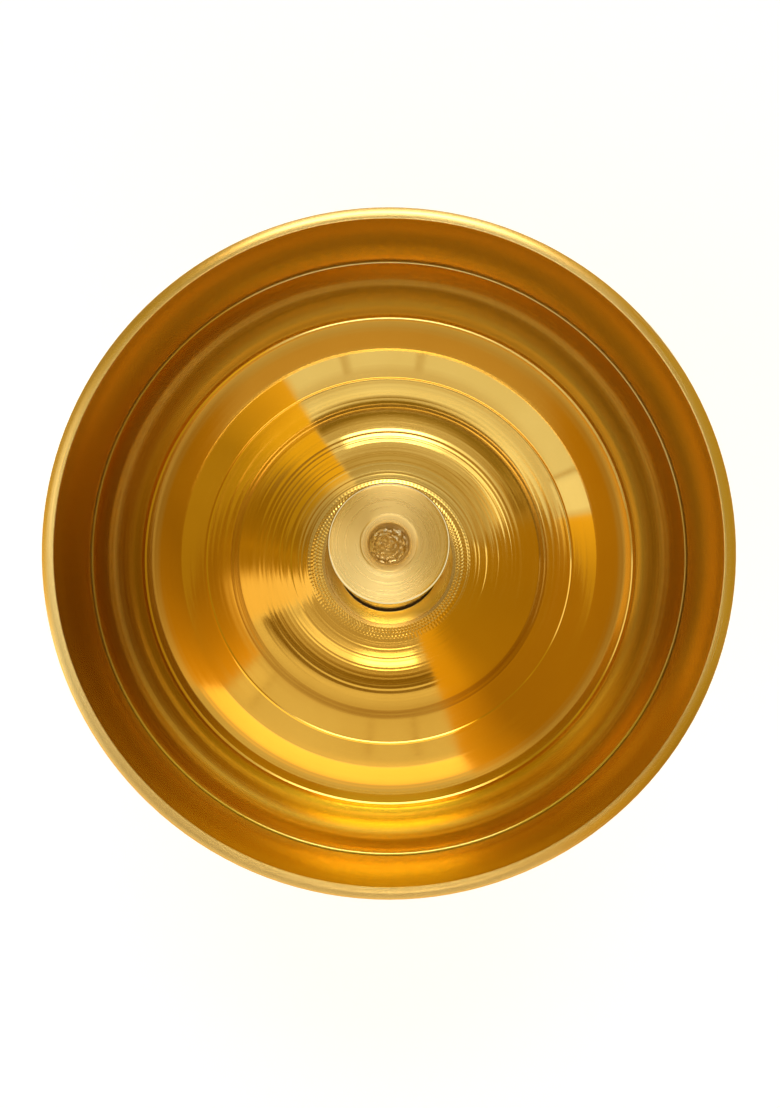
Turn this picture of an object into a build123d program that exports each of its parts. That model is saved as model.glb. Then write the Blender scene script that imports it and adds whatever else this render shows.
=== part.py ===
from build123d import *
import math
import os

# A turned brass butter lamp: a cup with a wick pillar, on a knopped stem and a hollow bell foot.
# Millimetres, +Z up. The origin is on the table under the middle of the foot.

# Cup
RIM_RADIUS = 35.0  # outside of the rim
RIM_WALL = 1.25  # width of the flat rim
CUP_DEPTH = 25.0  # from the rim down to the seat of the pillar
WALL_DRAFT = 7.6  # lean of the cup's wall, in degrees
DISH_RADIUS = 59.0  # sphere of the dished floor
CORNER_RADIUS = 13.8  # rounding between floor and wall
FLOOR_THICKNESS = 2.0
NECK_RADIUS = 7.0
NECK_FILLET = 6.0
WEB_THICKNESS = 1.5  # metal left between the two threaded holes in the neck

# Wick pillar and its collar
PILLAR_RADIUS = 6.1
PILLAR_RISE = 2.2  # top of the pillar above the rim
PILLAR_EDGE = 0.25  # small chamfer round the top
WICK_HOLE_RADIUS = 2.0
WICK_HOLE_DEPTH = 4.5
COUNTERSINK_RADIUS = 2.8
DRILL_POINT = 118.0  # full angle at the bottom of the wick hole, in degrees
COLLAR_RADIUS = 7.9
COLLAR_HEIGHT = 1.5
COLLAR_EDGE = 0.35  # upright edge of the collar
COLLAR_LAND = 0.15  # flat left round the pillar on top of the collar
COLLAR_COVE = 0.22  # hollow of the collar's flare
SEAT_MARGIN = 0.4  # flat floor left round the collar

# Stem
RING_RADIUS = 9.2
RING_FACE_RADIUS = 8.3
RING_HEIGHT = 2.2
KNOP_RADIUS = 11.0
KNOP_FACE_RADIUS = 6.6
KNOP_HEIGHT = 9.0
STEM_TOP_RADIUS = 6.2
STEM_BOTTOM_RADIUS = 9.0
STEM_HEIGHT = 7.0
STEM_HOLLOW = 1.0  # how far the trumpet curve dips in

# Foot
FOOT_RADIUS = 26.0
FOOT_HEIGHT = 14.0
FOOT_EDGE_HEIGHT = 3.0  # upright edge of the bell
FOOT_EDGE_STEP = 1.0  # ledge inside that edge
FOOT_RING_WIDTH = 2.5  # ring that meets the table
FOOT_RING_HEIGHT = 0.8  # upright part of the hollow
FOOT_TOP_RADIUS = 11.0  # disc on which the stem stands
FOOT_TOP_HEIGHT = 1.2  # thickness of that disc's edge
FOOT_PLATE = 3.5  # metal between disc and washer
BELL_HOLLOW = 2.0  # how far the bell's curve dips in

# Screws: an M8 rod for the stack and an M6 spigot on the pillar
ROD_RADIUS = 4.0
ROD_ENGAGEMENT = 6.75  # rod inside the cup's neck
ROD_TAIL = 0.8  # rod below the nut
ROD_CHAMFER = 0.5
SPIGOT_RADIUS = 3.0
SPIGOT_ENGAGEMENT = 5.4  # spigot inside the cup's floor
SPIGOT_CHAMFER = 0.4
NUT_ACROSS_FLATS = 13.0
NUT_HEIGHT = 4.0
WASHER_RADIUS = 8.5
WASHER_HEIGHT = 1.2
WASHER_ROOM = 1.0  # free ring round the washer under the plate

# Clearances, radial unless named otherwise
THREAD_CLEARANCE = 0.05
BORE_CLEARANCE = 0.1
HOLE_RUNOUT = 0.5  # empty end of a threaded hole, along its axis

# Heights, stacked up from the table
ROD_HOLE_DEPTH = ROD_ENGAGEMENT + HOLE_RUNOUT
SPIGOT_HOLE_DEPTH = SPIGOT_ENGAGEMENT + HOLE_RUNOUT
STEM_Z = FOOT_HEIGHT
KNOP_Z = STEM_Z + STEM_HEIGHT
RING_Z = KNOP_Z + KNOP_HEIGHT
NECK_Z = RING_Z + RING_HEIGHT
SEAT_Z = NECK_Z + ROD_HOLE_DEPTH + WEB_THICKNESS + SPIGOT_HOLE_DEPTH
RIM_Z = SEAT_Z + CUP_DEPTH
PLATE_Z = FOOT_HEIGHT - FOOT_PLATE
NUT_Z = PLATE_Z - WASHER_HEIGHT - NUT_HEIGHT
SEAT_RADIUS = COLLAR_RADIUS + SEAT_MARGIN
ROD_BORE = ROD_RADIUS + BORE_CLEARANCE
DISH_CENTRE_Z = SEAT_Z + math.sqrt(DISH_RADIUS**2 - SEAT_RADIUS**2)


def turned(*edges):
    """Turns a closed profile, drawn as (radius, height), about the lamp's axis."""
    return revolve(Plane.XZ * make_face(edges), Axis.Z)


def turned_face(face):
    """Turns a ready profile face about the lamp's axis."""
    return revolve(Plane.XZ * face, Axis.Z)


def cylinder(radius, bottom, top):
    """An upright cylinder on the lamp's axis."""
    return Pos(0, 0, bottom) * Cylinder(radius, top - bottom, align=(Align.CENTER, Align.CENTER, Align.MIN))


def rounded(face, point, radius):
    """Rounds the corner of a profile that lies nearest to the given point."""
    corner = face.vertices().sort_by_distance((point[0], point[1], 0))[0]
    return fillet(corner, radius)


def sphere_height(radius, sphere_radius):
    """Height of the dished floor, inside or outside, at a radius."""
    return DISH_CENTRE_Z - math.sqrt(sphere_radius**2 - radius**2)


def wall_foot(rim_radius, sphere_radius):
    """Point at which a leaning wall that starts at the rim meets the dished floor."""
    lean = math.radians(WALL_DRAFT)
    drop = RIM_Z - DISH_CENTRE_Z
    along = rim_radius * math.sin(lean) + drop * math.cos(lean)
    rest = rim_radius**2 + drop**2 - sphere_radius**2
    length = along + math.sqrt(along**2 - rest)
    return (rim_radius - length * math.sin(lean), RIM_Z - length * math.cos(lean))


def dish_arc(start, end, sphere_radius):
    """The floor's arc between two of its points, bulging down."""
    middle = (start[0] + end[0]) / 2
    return ThreePointArc(start, (middle, sphere_height(middle, sphere_radius)), end)


def cup_profile(rim_radius, sphere_radius, corner_radius, inner_radius, inner_z, bottom_z):
    """Half of the cup's inside or outside: axis, foot of the floor, dish, wall and rim plane."""
    floor = (inner_radius, inner_z)
    foot = wall_foot(rim_radius, sphere_radius)
    edges = [
        Polyline((0, RIM_Z), (0, bottom_z), (inner_radius, bottom_z)),
        dish_arc(floor, foot, sphere_radius),
        Polyline(foot, (rim_radius, RIM_Z), (0, RIM_Z)),
    ]
    if bottom_z < inner_z:
        edges.append(Line((inner_radius, bottom_z), floor))
    return rounded(make_face(edges), foot, corner_radius)


def make_bowl():
    """The cup: dished floor, leaning wall, flat rim and a neck with a threaded hole from each side."""
    outer_sphere = DISH_RADIUS + FLOOR_THICKNESS
    neck_top = sphere_height(NECK_RADIUS, outer_sphere)
    outside = cup_profile(
        RIM_RADIUS, outer_sphere, CORNER_RADIUS + RIM_WALL, NECK_RADIUS, neck_top, NECK_Z
    )
    outside = rounded(outside, (NECK_RADIUS, neck_top), NECK_FILLET)
    inside = cup_profile(
        RIM_RADIUS - RIM_WALL, DISH_RADIUS, CORNER_RADIUS, SEAT_RADIUS, SEAT_Z, SEAT_Z
    )
    rod_hole = cylinder(ROD_RADIUS + THREAD_CLEARANCE, NECK_Z, NECK_Z + ROD_HOLE_DEPTH)
    spigot_hole = cylinder(SPIGOT_RADIUS + THREAD_CLEARANCE, SEAT_Z - SPIGOT_HOLE_DEPTH, SEAT_Z)
    return turned_face(outside) - turned_face(inside) - rod_hole - spigot_hole


def make_wick_pillar():
    """The post: countersunk wick hole in the top, threaded spigot below the collar."""
    top = RIM_Z + PILLAR_RISE
    shoulder = SEAT_Z + COLLAR_HEIGHT
    spigot_end = SEAT_Z - SPIGOT_ENGAGEMENT
    hole_floor = top - WICK_HOLE_DEPTH
    countersink_depth = COUNTERSINK_RADIUS - WICK_HOLE_RADIUS
    drill_depth = WICK_HOLE_RADIUS / math.tan(math.radians(DRILL_POINT / 2))
    outline = Polyline(
        (0, spigot_end),
        (SPIGOT_RADIUS - SPIGOT_CHAMFER, spigot_end),
        (SPIGOT_RADIUS, spigot_end + SPIGOT_CHAMFER),
        (SPIGOT_RADIUS, shoulder),
        (PILLAR_RADIUS, shoulder),
        (PILLAR_RADIUS, top - PILLAR_EDGE),
        (PILLAR_RADIUS - PILLAR_EDGE, top),
        (COUNTERSINK_RADIUS, top),
        (WICK_HOLE_RADIUS, top - countersink_depth),
        (WICK_HOLE_RADIUS, hole_floor),
        (0, hole_floor - drill_depth),
        close=True,
    )
    return turned(outline)


def make_pillar_collar():
    """The flared ring at the pillar's foot."""
    bore = SPIGOT_RADIUS + THREAD_CLEARANCE
    land = PILLAR_RADIUS + COLLAR_LAND
    top = SEAT_Z + COLLAR_HEIGHT
    edge = SEAT_Z + COLLAR_EDGE
    return turned(
        Polyline((land, top), (bore, top), (bore, SEAT_Z), (COLLAR_RADIUS, SEAT_Z), (COLLAR_RADIUS, edge)),
        SagittaArc((COLLAR_RADIUS, edge), (land, top), COLLAR_COVE),
    )


def make_bead(bore, face_radius, bead_radius, bottom, height):
    """A ring with a round outside and flat ends."""
    top = bottom + height
    return turned(
        Polyline((face_radius, top), (bore, top), (bore, bottom), (face_radius, bottom)),
        ThreePointArc((face_radius, bottom), (bead_radius, (bottom + top) / 2), (face_radius, top)),
    )


def make_neck_ring():
    """The bead ring between the cup's neck and the knop, which lifts with the cup."""
    bore = ROD_RADIUS + THREAD_CLEARANCE
    return make_bead(bore, RING_FACE_RADIUS, RING_RADIUS, RING_Z, RING_HEIGHT)


def make_knop():
    """The ball of the stem."""
    return make_bead(ROD_BORE, KNOP_FACE_RADIUS, KNOP_RADIUS, KNOP_Z, KNOP_HEIGHT)


def make_stem():
    """The trumpet-shaped piece between knop and foot."""
    return turned(
        Polyline((STEM_TOP_RADIUS, KNOP_Z), (ROD_BORE, KNOP_Z), (ROD_BORE, STEM_Z), (STEM_BOTTOM_RADIUS, STEM_Z)),
        SagittaArc((STEM_BOTTOM_RADIUS, STEM_Z), (STEM_TOP_RADIUS, KNOP_Z), STEM_HOLLOW),
    )


def make_foot():
    """The bell: a disc for the stem, a hollow curve and a ring that meets the table."""
    bell_top = FOOT_HEIGHT - FOOT_TOP_HEIGHT
    ledge = FOOT_RADIUS - FOOT_EDGE_STEP
    hollow = FOOT_RADIUS - FOOT_RING_WIDTH
    room = WASHER_RADIUS + WASHER_ROOM
    return turned(
        Polyline((ledge, FOOT_EDGE_HEIGHT), (FOOT_RADIUS, FOOT_EDGE_HEIGHT), (FOOT_RADIUS, 0)),
        Polyline((FOOT_RADIUS, 0), (hollow, 0), (hollow, FOOT_RING_HEIGHT)),
        SagittaArc((hollow, FOOT_RING_HEIGHT), (room, PLATE_Z), BELL_HOLLOW),
        Polyline((room, PLATE_Z), (ROD_BORE, PLATE_Z), (ROD_BORE, FOOT_HEIGHT), (FOOT_TOP_RADIUS, FOOT_HEIGHT)),
        Line((FOOT_TOP_RADIUS, FOOT_HEIGHT), (FOOT_TOP_RADIUS, bell_top)),
        SagittaArc((FOOT_TOP_RADIUS, bell_top), (ledge, FOOT_EDGE_HEIGHT), -BELL_HOLLOW),
    )


def make_tie_rod():
    """The threaded rod from the nut up into the cup's neck."""
    bottom = NUT_Z - ROD_TAIL
    top = NECK_Z + ROD_ENGAGEMENT
    inner = ROD_RADIUS - ROD_CHAMFER
    return turned(
        Polyline(
            (0, bottom),
            (inner, bottom),
            (ROD_RADIUS, bottom + ROD_CHAMFER),
            (ROD_RADIUS, top - ROD_CHAMFER),
            (inner, top),
            (0, top),
            close=True,
        )
    )


def make_foot_washer():
    """The plain washer under the bell's plate."""
    bottom = PLATE_Z - WASHER_HEIGHT
    return cylinder(WASHER_RADIUS, bottom, PLATE_Z) - cylinder(ROD_BORE, bottom, PLATE_Z)


def make_foot_nut():
    """The hexagon nut that holds the stack together."""
    hexagon = Pos(0, 0, NUT_Z) * RegularPolygon(NUT_ACROSS_FLATS / 2, 6, major_radius=False)
    return extrude(hexagon, NUT_HEIGHT) - cylinder(ROD_RADIUS + THREAD_CLEARANCE, NUT_Z, NUT_Z + NUT_HEIGHT)


PIECES = {
    "bowl": make_bowl,
    "wick_pillar": make_wick_pillar,
    "pillar_collar": make_pillar_collar,
    "neck_ring": make_neck_ring,
    "knop": make_knop,
    "stem": make_stem,
    "foot": make_foot,
    "tie_rod": make_tie_rod,
    "foot_washer": make_foot_washer,
    "foot_nut": make_foot_nut,
}

os.makedirs("parts", exist_ok=True)
for name, make in PIECES.items():
    export_step(make(), f"parts/{name}.step")
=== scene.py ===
# %% [markdown]
# # A butter lamp turned from brass
#
# The lamp is a small goblet. A dished cup with a drilled wick pillar stands on a knopped stem and a
# hollow bell foot, and a threaded rod holds the stack together. Every piece comes off a lathe, so every
# piece here is a profile that is turned about one axis.

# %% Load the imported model
import math

import bmesh
import bpy
import numpy as np
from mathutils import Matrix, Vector


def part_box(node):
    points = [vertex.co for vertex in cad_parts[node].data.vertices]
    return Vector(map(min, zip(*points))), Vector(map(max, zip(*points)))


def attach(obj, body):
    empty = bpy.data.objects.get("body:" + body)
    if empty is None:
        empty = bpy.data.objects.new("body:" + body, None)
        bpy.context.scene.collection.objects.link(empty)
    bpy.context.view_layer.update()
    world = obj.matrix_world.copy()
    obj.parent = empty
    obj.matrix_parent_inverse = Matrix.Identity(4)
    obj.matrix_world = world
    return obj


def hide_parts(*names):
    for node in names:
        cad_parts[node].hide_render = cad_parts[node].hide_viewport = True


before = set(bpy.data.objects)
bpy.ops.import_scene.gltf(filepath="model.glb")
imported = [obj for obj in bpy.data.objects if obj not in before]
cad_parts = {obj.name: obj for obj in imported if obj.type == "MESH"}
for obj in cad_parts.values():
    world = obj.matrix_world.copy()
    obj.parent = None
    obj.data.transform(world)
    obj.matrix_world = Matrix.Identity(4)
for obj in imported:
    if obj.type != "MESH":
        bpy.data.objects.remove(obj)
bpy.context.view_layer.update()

scene = bpy.context.scene
print("nodes:", sorted(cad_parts))

# %% [markdown]
# ## Sizes
#
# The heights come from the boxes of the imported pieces, so the model and its dress can't drift apart.
# The few sizes that a box doesn't show, such as the radius of the dished floor, are written down once
# here, in millimetres. Profiles are drawn in millimetres too and turned to metres when they are spun.

# %% Heights and radii
MM = 0.001


def low(node):
    """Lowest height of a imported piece, in millimetres."""
    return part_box(node)[0][2] / MM


def high(node):
    """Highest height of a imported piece, in millimetres."""
    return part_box(node)[1][2] / MM


def reach(node):
    """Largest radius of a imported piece, in millimetres."""
    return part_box(node)[1][0] / MM


RIM_Z = high("bowl")
NECK_Z = low("bowl")
SEAT_Z = low("pillar_collar")
RIM_RADIUS = reach("bowl")
RIM_WALL = 1.25
WALL_DRAFT = math.radians(7.6)
DISH_RADIUS = 59.0
CORNER_RADIUS = 13.8
FLOOR_THICKNESS = 2.0
NECK_RADIUS = 7.0
NECK_FILLET = 6.0
SEAT_RADIUS = reach("pillar_collar") + 0.4
ROD_RADIUS = reach("tie_rod")
ROD_HOLE = ROD_RADIUS + 0.05
ROD_HOLE_DEPTH = 7.25
SPIGOT_RADIUS = 3.0
SPIGOT_HOLE = SPIGOT_RADIUS + 0.05
SPIGOT_HOLE_DEPTH = 5.9
BORE = ROD_RADIUS + 0.1
DISH_Z = SEAT_Z + math.sqrt(DISH_RADIUS**2 - SEAT_RADIUS**2)
print(f"rim {2 * RIM_RADIUS:.1f} mm wide at {RIM_Z:.2f} mm, seat of the pillar at {SEAT_Z:.2f} mm")

# %% [markdown]
# ## The camera
#
# The photograph looks almost straight down into the cup, from about three cup radii above the rim and
# 4.5 degrees off the axis. A long lens would flatten the cup; this short distance is what makes the
# pillar's top look so large. The lens is worked out from the width of the rim in the picture.

# %% Camera over the cup
# The picture is 780 by 1108 pixels, and Blender counts lens and shift by the longer side.
HEIGHT = 1108
RIM_PIXELS = 335.5
# How far the rim's centre lies from the middle of the picture, in pixels.
SHIFT_X, SHIFT_Y = 1.1, -9.4
TILT = math.radians(4.5)
EYE_DISTANCE = 3.2
inner_rim = (RIM_RADIUS - RIM_WALL) * MM
distance = EYE_DISTANCE * inner_rim
rim_centre = Vector((0, 0, RIM_Z * MM))
eye = rim_centre + distance * Vector((0, -math.sin(TILT), math.cos(TILT)))

lens = bpy.data.cameras.new("camera")
lens.sensor_width = 36
lens.lens = RIM_PIXELS / inner_rim * distance * lens.sensor_width / HEIGHT
lens.shift_x = SHIFT_X / HEIGHT
lens.shift_y = SHIFT_Y / HEIGHT
lens.clip_start = 0.001
camera = bpy.data.objects.new("camera", lens)
camera.location = eye
camera.rotation_euler = (rim_centre - eye).to_track_quat("-Z", "Y").to_euler()
scene.collection.objects.link(camera)
scene.camera = camera
print(f"lens {lens.lens:.1f} mm, eye {distance / MM:.0f} mm from the rim")

# %% [markdown]
# ## One function for nodes
#
# Every tree below, for shapes, finishes and light, is built with the same small function. It adds a node,
# applies its settings, and fills its inputs with plain values or with links from other nodes.

# %% Add a node


def add(tree, kind, inputs=None, **settings):
    """Adds a node with its settings. An input takes a value, a node's first output, or a socket."""
    node = tree.nodes.new(kind)
    for name, value in settings.items():
        setattr(node, name, value)
    for key, value in (inputs or {}).items():
        if isinstance(value, bpy.types.Node):
            value = value.outputs[0]
        if isinstance(value, bpy.types.NodeSocket):
            tree.links.new(value, node.inputs[key])
        else:
            node.inputs[key].default_value = value
    return node


def hex_linear(text):
    """An sRGB hex colour as linear RGBA."""
    parts = [int(text[i : i + 2], 16) / 255 for i in (0, 2, 4)]
    return (*[p / 12.92 if p <= 0.04045 else ((p + 0.055) / 1.055) ** 2.4 for p in parts], 1.0)


print(f"half grey is {hex_linear('808080')[0]:.3f} as a linear value")

# %% [markdown]
# ## The lathe
#
# A lathe piece could be made with Blender's Spin or Screw tool, but Geometry Nodes keep the rule in view:
# a profile of points is laid round the axis as many times as there are segments. The tree makes a grid,
# reads for each grid point its place on the profile and its turn, and moves it there. The same tree cuts
# fine tool marks, screw threads and the flats of a nut, because each of these only changes the radius. Last
# of all it can tear a face into grains, which is what a drill does to the bottom of a hole.

# %% Build the lathe tree
lathe = bpy.data.node_groups.new("lathe", "GeometryNodeTree")
lathe.interface.new_socket("Geometry", in_out="OUTPUT", socket_type="NodeSocketGeometry")
LATHE_INPUTS = (
    ("Geometry", "NodeSocketGeometry"),
    ("Segments", "NodeSocketInt"),
    ("Mark Pitch", "NodeSocketFloat"),
    ("Mark Depth", "NodeSocketFloat"),
    ("Seed", "NodeSocketFloat"),
    ("Thread Pitch", "NodeSocketFloat"),
    ("Thread Depth", "NodeSocketFloat"),
    ("Across Flats", "NodeSocketFloat"),
    ("Grain Size", "NodeSocketFloat"),
    ("Grain Depth", "NodeSocketFloat"),
)
FINISHES = ("Main Finish", "Second Finish", "Third Finish", "Fourth Finish")
lathe_ids = {}
for name, kind in LATHE_INPUTS + tuple((name, "NodeSocketMaterial") for name in FINISHES):
    lathe_ids[name] = lathe.interface.new_socket(name, in_out="INPUT", socket_type=kind).identifier
given = add(lathe, "NodeGroupInput").outputs

profile_size = add(lathe, "GeometryNodeAttributeDomainSize", {0: given["Geometry"]}, component="MESH")
count = profile_size.outputs["Point Count"]
columns = add(lathe, "FunctionNodeIntegerMath", {0: given["Segments"], 1: 1}, operation="ADD")
grid = add(lathe, "GeometryNodeMeshGrid", {"Vertices X": columns, "Vertices Y": count})
index = add(lathe, "GeometryNodeInputIndex")
column = add(lathe, "FunctionNodeIntegerMath", {0: index, 1: count}, operation="DIVIDE_FLOOR")
row = add(lathe, "FunctionNodeIntegerMath", {0: index, 1: count}, operation="MODULO")
share = add(lathe, "ShaderNodeMath", {0: column, 1: given["Segments"]}, operation="DIVIDE")
angle = add(lathe, "ShaderNodeMath", {0: share, 1: 2 * math.pi}, operation="MULTIPLY")


def sampled(name, kind):
    """A value stored on the profile, read at the grid point's row."""
    value = add(lathe, "GeometryNodeInputNamedAttribute", {"Name": name}, data_type=kind)
    return add(lathe, "GeometryNodeSampleIndex", {0: given["Geometry"], 1: value, 2: row}, data_type=kind)


place = add(
    lathe,
    "GeometryNodeSampleIndex",
    {0: given["Geometry"], 1: add(lathe, "GeometryNodeInputPosition"), 2: row},
    data_type="FLOAT_VECTOR",
)
outward = sampled("outward", "FLOAT_VECTOR")
work = add(lathe, "ShaderNodeSeparateXYZ", {0: sampled("work", "FLOAT_VECTOR")})
along = sampled("along", "FLOAT")
spot = add(lathe, "ShaderNodeSeparateXYZ", {0: place})
print("lathe inputs:", ", ".join(lathe_ids))

# %% [markdown]
# ### What the tools cut
#
# A mark, a thread and a flat could each be modelled with a tool of its own. Here all three are sums on the
# profile: marks are noise along it, a thread is a zigzag that climbs with the turn, and a flat is the
# smaller of the radius and the distance to a straight side.

# %% Cut marks, threads and flats
# The thread's zigzag runs from 0 to this and back.
ZIGZAG = 0.5
step = add(lathe, "ShaderNodeMath", {0: along, 1: given["Mark Pitch"]}, operation="DIVIDE")
seeded = add(lathe, "ShaderNodeMath", {0: step, 1: given["Seed"]}, operation="ADD")
ripple = add(lathe, "ShaderNodeTexNoise", {"W": seeded, "Scale": 1.0, "Detail": 1.0}, noise_dimensions="1D")
centred = add(lathe, "ShaderNodeMath", {0: ripple, 1: 2.0, 2: -1.0}, operation="MULTIPLY_ADD")
sized = add(lathe, "ShaderNodeMath", {0: centred, 1: given["Mark Depth"]}, operation="MULTIPLY")
marks = add(lathe, "ShaderNodeMath", {0: sized, 1: work.outputs[0]}, operation="MULTIPLY")
climb = add(lathe, "ShaderNodeMath", {0: spot.outputs[2], 1: given["Thread Pitch"]}, operation="DIVIDE")
turns = add(lathe, "ShaderNodeMath", {0: climb, 1: share}, operation="SUBTRACT")
vee = add(lathe, "ShaderNodeMath", {0: turns, 1: ZIGZAG}, operation="PINGPONG")
groove = add(lathe, "ShaderNodeMath", {0: vee, 1: given["Thread Depth"]}, operation="MULTIPLY")
thread = add(lathe, "ShaderNodeMath", {0: groove, 1: work.outputs[1]}, operation="MULTIPLY")
shift = add(lathe, "ShaderNodeMath", {0: marks, 1: thread}, operation="SUBTRACT")
moved = add(lathe, "ShaderNodeVectorMath", {0: outward, "Scale": shift}, operation="SCALE")
cut = add(lathe, "ShaderNodeVectorMath", {0: moved, 1: place}, operation="ADD")
spot = add(lathe, "ShaderNodeSeparateXYZ", {0: cut})

sixth = add(lathe, "ShaderNodeMath", {0: angle, 1: math.pi / 3}, operation="FLOORED_MODULO")
middle = add(lathe, "ShaderNodeMath", {0: sixth, 1: math.pi / 6}, operation="SUBTRACT")
spread = add(lathe, "ShaderNodeMath", {0: middle}, operation="COSINE")
apothem = add(lathe, "ShaderNodeMath", {0: given["Across Flats"], 1: 0.5}, operation="MULTIPLY")
flat = add(lathe, "ShaderNodeMath", {0: apothem, 1: spread}, operation="DIVIDE")
least = add(lathe, "ShaderNodeMath", {0: spot.outputs[0], 1: flat}, operation="MINIMUM")
radius = add(lathe, "ShaderNodeMix", {0: work.outputs[2], 2: spot.outputs[0], 3: least}, data_type="FLOAT")
print("cuts:", len(lathe.nodes), "nodes so far")

# %% [markdown]
# ### Once round the axis
#
# The Spin tool leaves a seam that has to be merged by hand. Here each column of the grid is the profile at
# one turn, the first and the last column fall on each other, and a merge by distance closes the seam and
# the poles. Each band of faces then gets the finish that its part of the profile asks for.

# %% Lay the profile round the axis
# Points closer than this are one point, which closes the seam and the poles.
WELD = 2e-6
cosine = add(lathe, "ShaderNodeMath", {0: angle}, operation="COSINE")
sine = add(lathe, "ShaderNodeMath", {0: angle}, operation="SINE")
east = add(lathe, "ShaderNodeMath", {0: radius, 1: cosine}, operation="MULTIPLY")
north = add(lathe, "ShaderNodeMath", {0: radius, 1: sine}, operation="MULTIPLY")
spun = add(lathe, "ShaderNodeCombineXYZ", {0: east, 1: north, 2: spot.outputs[2]})
fineness = add(lathe, "ShaderNodeMath", {0: 1.0, 1: given["Grain Size"]}, operation="DIVIDE")
grains = add(lathe, "ShaderNodeTexNoise", {"Vector": spun, "Scale": fineness, "Detail": 1.0})
grains = add(lathe, "ShaderNodeMath", {0: grains, 1: 2.0, 2: -1.0}, operation="MULTIPLY_ADD")
grains = add(lathe, "ShaderNodeMath", {0: grains, 1: given["Grain Depth"]}, operation="MULTIPLY")
grains = add(lathe, "ShaderNodeMath", {0: grains, 1: sampled("torn", "FLOAT")}, operation="MULTIPLY")
lifted = add(lathe, "ShaderNodeCombineXYZ", {2: grains})
spun = add(lathe, "ShaderNodeVectorMath", {0: spun, 1: lifted}, operation="ADD")
shaped = add(lathe, "GeometryNodeSetPosition", {"Geometry": grid, "Position": spun})

bands = add(lathe, "FunctionNodeIntegerMath", {0: count, 1: 1}, operation="SUBTRACT")
band = add(lathe, "FunctionNodeIntegerMath", {0: index, 1: bands}, operation="MODULO")
finish = add(lathe, "GeometryNodeInputNamedAttribute", {"Name": "finish"}, data_type="INT")
finish = add(lathe, "GeometryNodeSampleIndex", {0: given["Geometry"], 1: finish, 2: band}, data_type="INT")
tagged = add(
    lathe,
    "GeometryNodeStoreNamedAttribute",
    {"Geometry": shaped, "Name": "finish", "Value": finish},
    data_type="INT",
    domain="FACE",
)
welded = add(lathe, "GeometryNodeMergeByDistance", {"Geometry": tagged, "Distance": WELD})
smooth = add(lathe, "GeometryNodeSetShadeSmooth", {"Geometry": welded})
dressed = add(lathe, "GeometryNodeRealizeInstances", {"Geometry": smooth})
for number, name in enumerate(FINISHES):
    tag = add(lathe, "GeometryNodeInputNamedAttribute", {"Name": "finish"}, data_type="INT")
    same = add(lathe, "FunctionNodeCompare", {2: tag, 3: number}, data_type="INT", operation="EQUAL")
    dressed = add(
        lathe, "GeometryNodeSetMaterial", {"Geometry": dressed, "Selection": same, "Material": given[name]}
    )
add(lathe, "NodeGroupOutput", {0: dressed})
print("lathe tree:", len(lathe.nodes), "nodes")

# %% [markdown]
# ## Drawing a profile
#
# A profile is a list of runs, each straight or bowed, with the number of its finish. It is drawn so that
# the open air is always on its left. Real turned edges are never knife sharp, so each corner is rounded
# over a tenth of a millimetre or so before the profile is spun.

# %% Runs and bows


def run(*points, step=0.8):
    """Straight runs through points, cut into lengths of about one step."""
    line = [np.array(points[0], float)]
    for a, b in zip(points, points[1:]):
        a, b = np.array(a, float), np.array(b, float)
        parts = max(1, round(math.dist(a, b) / step))
        line += [a + (b - a) * i / parts for i in range(1, parts + 1)]
    return np.array(line)


def bow(start, end, rise, step=0.4):
    """An arc that leaves the straight way from start to end by a rise, to the left if it is positive."""
    start, end = np.array(start, float), np.array(end, float)
    length = math.dist(start, end)
    left = np.array([start[1] - end[1], end[0] - start[0]]) / length
    radius = (length**2 / 4 + rise**2) / (2 * rise)
    centre = (start + end) / 2 + left * (rise - radius)
    sweep = -2 * math.asin(length / 2 / radius)
    parts = max(4, round(abs(radius * sweep) / step))
    a, b = start - centre
    turn = np.linspace(0, sweep, parts + 1)
    return centre + np.stack([a * np.cos(turn) - b * np.sin(turn), a * np.sin(turn) + b * np.cos(turn)], 1)


def piece_of(points, finish=0, marks=0.0, thread=0.0, flats=0.0, torn=0.0):
    """A run with what is done to it, one row a point: place, finish, marks, thread, flats and tearing."""
    rows = np.zeros((len(points), 7))
    rows[:, :2] = points
    rows[:, 2] = finish
    rows[:, 3] = marks
    rows[:, 4] = thread
    rows[:, 5] = flats
    rows[:, 6] = torn
    return rows


# A rounded corner takes at most this share of the way to the next point.
EASE_SHARE = 0.45


def eased(rows, ease, sharp=18):
    """Rounds each corner that turns by more than a few degrees, over a short way on both sides."""
    out = [rows[0]]
    for before, corner, after in zip(rows, rows[1:], rows[2:]):
        a, b = before[:2] - corner[:2], after[:2] - corner[:2]
        la, lb = np.hypot(*a), np.hypot(*b)
        turn = 180 - math.degrees(math.acos(np.clip(a @ b / (la * lb), -1, 1)))
        if turn < sharp:
            out.append(corner)
            continue
        p = corner[:2] + a / la * min(ease, EASE_SHARE * la)
        q = corner[:2] + b / lb * min(ease, EASE_SHARE * lb)
        for t in (0, 0.25, 0.5, 0.75, 1):
            point = (before if t < 0.5 else corner).copy()
            point[:2] = (1 - t) ** 2 * p + 2 * t * (1 - t) * corner[:2] + t**2 * q
            out.append(point)
    return np.array(out + [rows[-1]])


print("a bow over 10 mm that rises 1 mm has", len(bow((0, 0), (10, 0), 1.0)), "points")

# %% [markdown]
# ### From profile to mesh
#
# The profile becomes a string of points that carry their own finish, marks and threads as attributes. The
# tree turns it into a shell, the shell becomes a plain mesh, and edges that stay sharper than a
# limit are shaded as edges.

# %% A profile that carries its work
# The tool feeds faster up a steep wall, so marks lie wider there.
STEEP_SHARE = 0.1


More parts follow.
